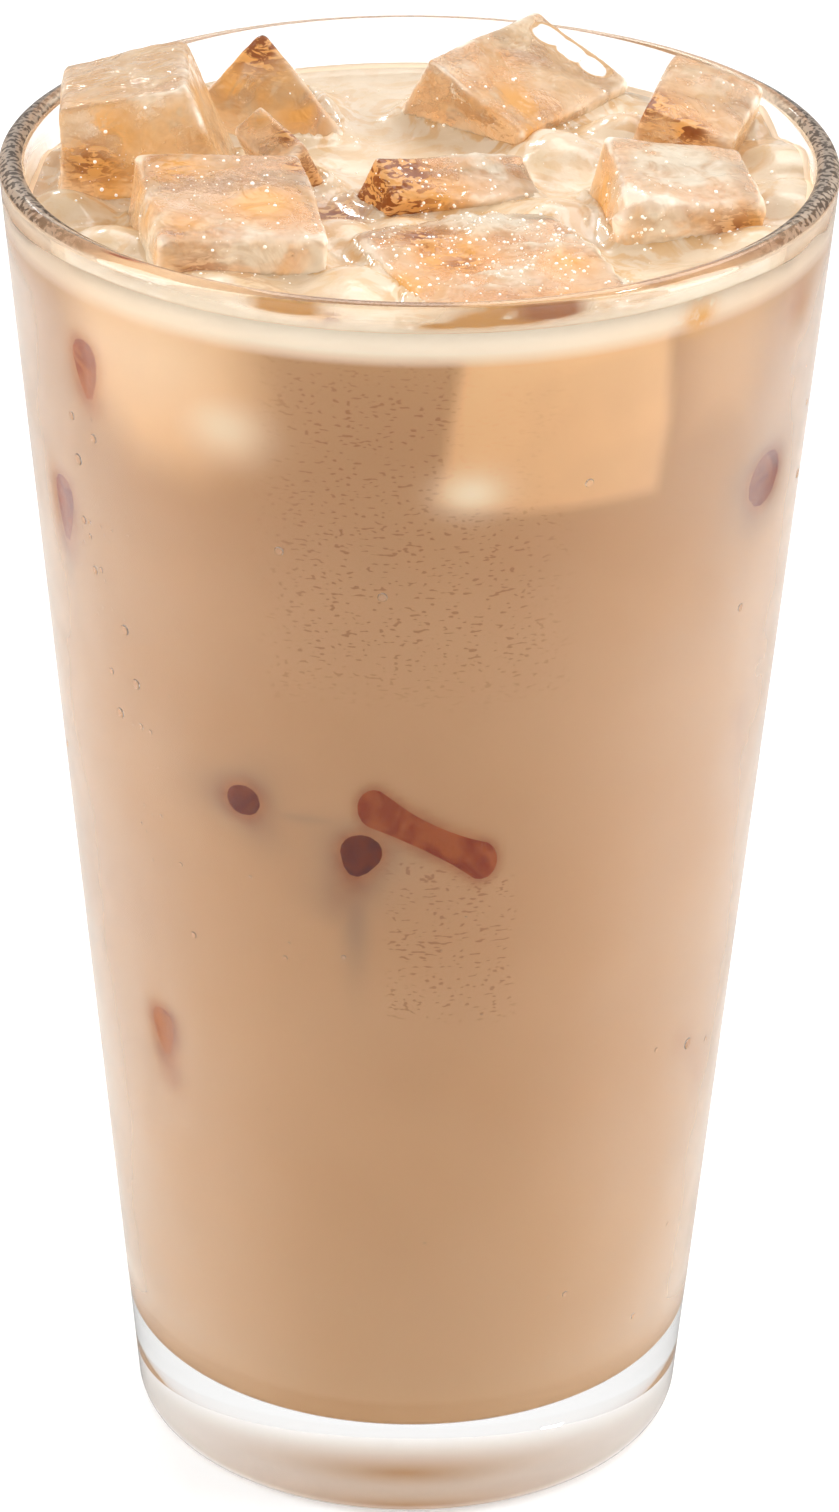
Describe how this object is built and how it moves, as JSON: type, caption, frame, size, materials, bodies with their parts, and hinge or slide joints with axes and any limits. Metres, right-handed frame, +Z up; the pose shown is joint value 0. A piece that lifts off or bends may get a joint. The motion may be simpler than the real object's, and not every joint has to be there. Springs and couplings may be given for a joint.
{
  "type": "iced latte in a glass",
  "caption": "Milky iced coffee filling a straight-sided clear glass almost to the rim, with ice cubes standing out of the drink.",
  "frame": {"origin": "centre of the glass's base, on the surface that it stands on", "axes": "+Z up along the glass's axis, -Y towards the side that the picture shows, +X to the right there"},
  "size_m": [0.089, 0.089, 0.1605],
  "materials": {
    "glass": "clear, fire-polished",
    "drink": "opaque milky coffee, wet surface",
    "ice": "wet ice stained by milky coffee, with bubbles"
  },
  "bodies": {
    "root": {"glass": "glass", "drink": "drink", "ice_left": "ice", "ice_peak": "ice", "ice_front_left": "ice", "ice_middle": "ice", "ice_front": "ice", "ice_back": "ice", "ice_right": "ice", "ice_front_right": "ice", "ice_ridge": "ice"}
  },
  "joints": []
}
